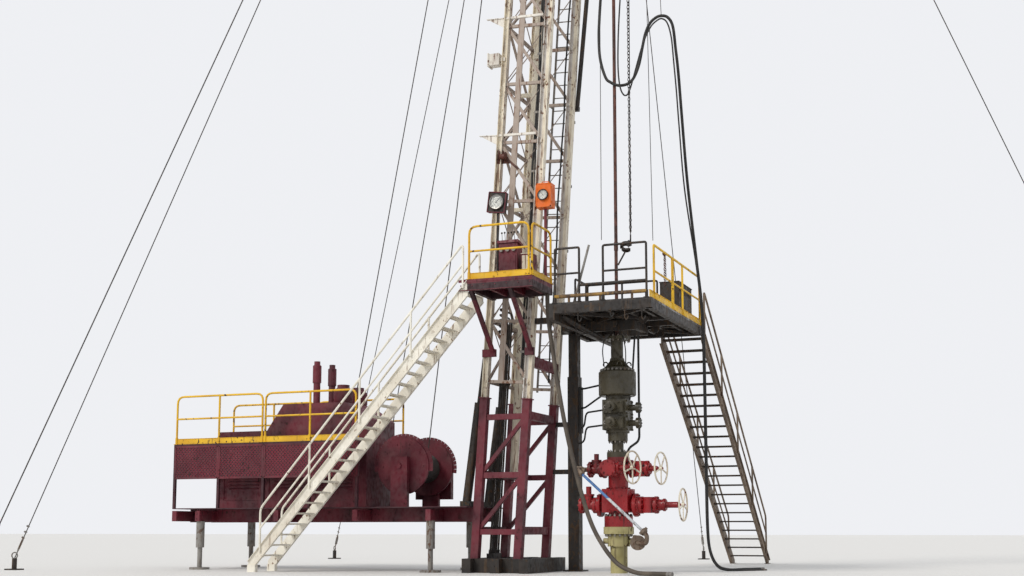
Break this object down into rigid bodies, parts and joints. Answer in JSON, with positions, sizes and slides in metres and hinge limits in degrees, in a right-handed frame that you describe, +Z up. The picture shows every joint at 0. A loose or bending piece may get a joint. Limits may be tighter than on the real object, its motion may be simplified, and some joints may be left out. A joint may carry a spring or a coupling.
{
  "type": "mobile oil well service drilling rig",
  "caption": "Leaning telescopic lattice mast on a service rig, with work floor, stairs, operator's platform, blowout preventer stack, hoses, guy lines and carrier deck.",
  "frame": {"origin": "centre of the underside of the mast's base beam, on the ground", "axes": "+X from the mast towards the well, +Z up, +Y away from the side with the operator's platform"},
  "size_m": [26.698, 21.8055, 29.3339],
  "materials": {
    "black_steel": "worn black paint over rust",
    "maroon_paint": "faded maroon paint",
    "cream_paint": "weathered cream paint with rust streaks",
    "grey_steel": "dull bare steel",
    "yellow_paint": "chipped safety yellow paint",
    "tan_steel": "dusty tan paint",
    "orange_paint": "orange paint",
    "olive_paint": "olive grey paint",
    "red_paint": "bright red paint",
    "tubing": "rust brown mill scale",
    "wire_rope": "greased wire rope",
    "rubber_hose": "black rubber",
    "canvas_hose": "dusty grey rubber hose"
  },
  "bodies": {
    "rig": {"base_beam": "black_steel", "base_stand": "maroon_paint", "stand_cross_beams": "maroon_paint", "raising_rams": "black_steel", "lower_mast_near_side": "cream_paint", "lower_mast_far_side": "cream_paint", "lower_mast_back": "cream_paint", "upper_mast_near_side": "cream_paint", "upper_mast_far_side": "cream_paint", "upper_mast_back": "cream_paint", "telescope_ram": "cream_paint", "mast_ladder": "grey_steel", "crown_frame": "cream_paint", "crown_sheaves": "grey_steel", "travelling_block": "yellow_paint", "tubing_elevator": "grey_steel", "tubing_string": "tubing", "hoist_lines": "wire_rope", "tong_line": "wire_rope", "floor_frame": "black_steel", "floor_deck": "black_steel", "floor_rails": "black_steel", "floor_rail_front": "yellow_paint", "floor_leg": "black_steel", "tool_box": "black_steel", "pipe_tongs": "black_steel", "floor_stair_stringers": "tan_steel", "floor_stair_treads": "black_steel", "floor_stair_handrails": "tan_steel", "operator_platform": "maroon_paint", "operator_rail": "yellow_paint", "control_console": "maroon_paint", "weight_gauge": "black_steel", "pressure_gauge": "orange_paint", "operator_stair_stringers": "cream_paint", "operator_stair_treads": "cream_paint", "operator_stair_handrails": "cream_paint", "casing_head": "olive_paint", "wellhead_spool": "red_paint", "gate_valves": "red_paint", "stack_spools": "olive_paint", "ram_preventer": "olive_paint", "bag_preventer": "olive_paint", "control_lines": "rubber_hose", "standpipe": "black_steel", "guy_lines": "wire_rope", "guy_anchors": "black_steel", "carrier_frame": "maroon_paint", "carrier_jacks": "grey_steel", "carrier_deck": "maroon_paint", "walkway_rail": "yellow_paint", "drawworks": "maroon_paint", "engine_hood": "maroon_paint", "long_hose": "rubber_hose", "thin_hose": "rubber_hose", "flow_hose": "canvas_hose", "hose_couplings": "grey_steel"},
    "handwheel_near": {"handwheel_near": "cream_paint"},
    "handwheel_upper": {"handwheel_upper": "cream_paint"},
    "handwheel_lower": {"handwheel_lower": "cream_paint"}
  },
  "joints": [
    {"name": "near_valve_turn", "type": "hinge", "parent": "rig", "child": "handwheel_near", "pos_m": [2.88396, -0.69064, 2.18], "axis": [0.9703, -0.2419, 0], "continuous": true},
    {"name": "upper_valve_turn", "type": "hinge", "parent": "rig", "child": "handwheel_upper", "pos_m": [3.31552, -0.06402, 2.18], "axis": [0.9903, -0.1392, 0], "continuous": true},
    {"name": "lower_valve_turn", "type": "hinge", "parent": "rig", "child": "handwheel_lower", "pos_m": [3.76, 0, 1.42], "axis": [1, 0, 0], "continuous": true}
  ]
}
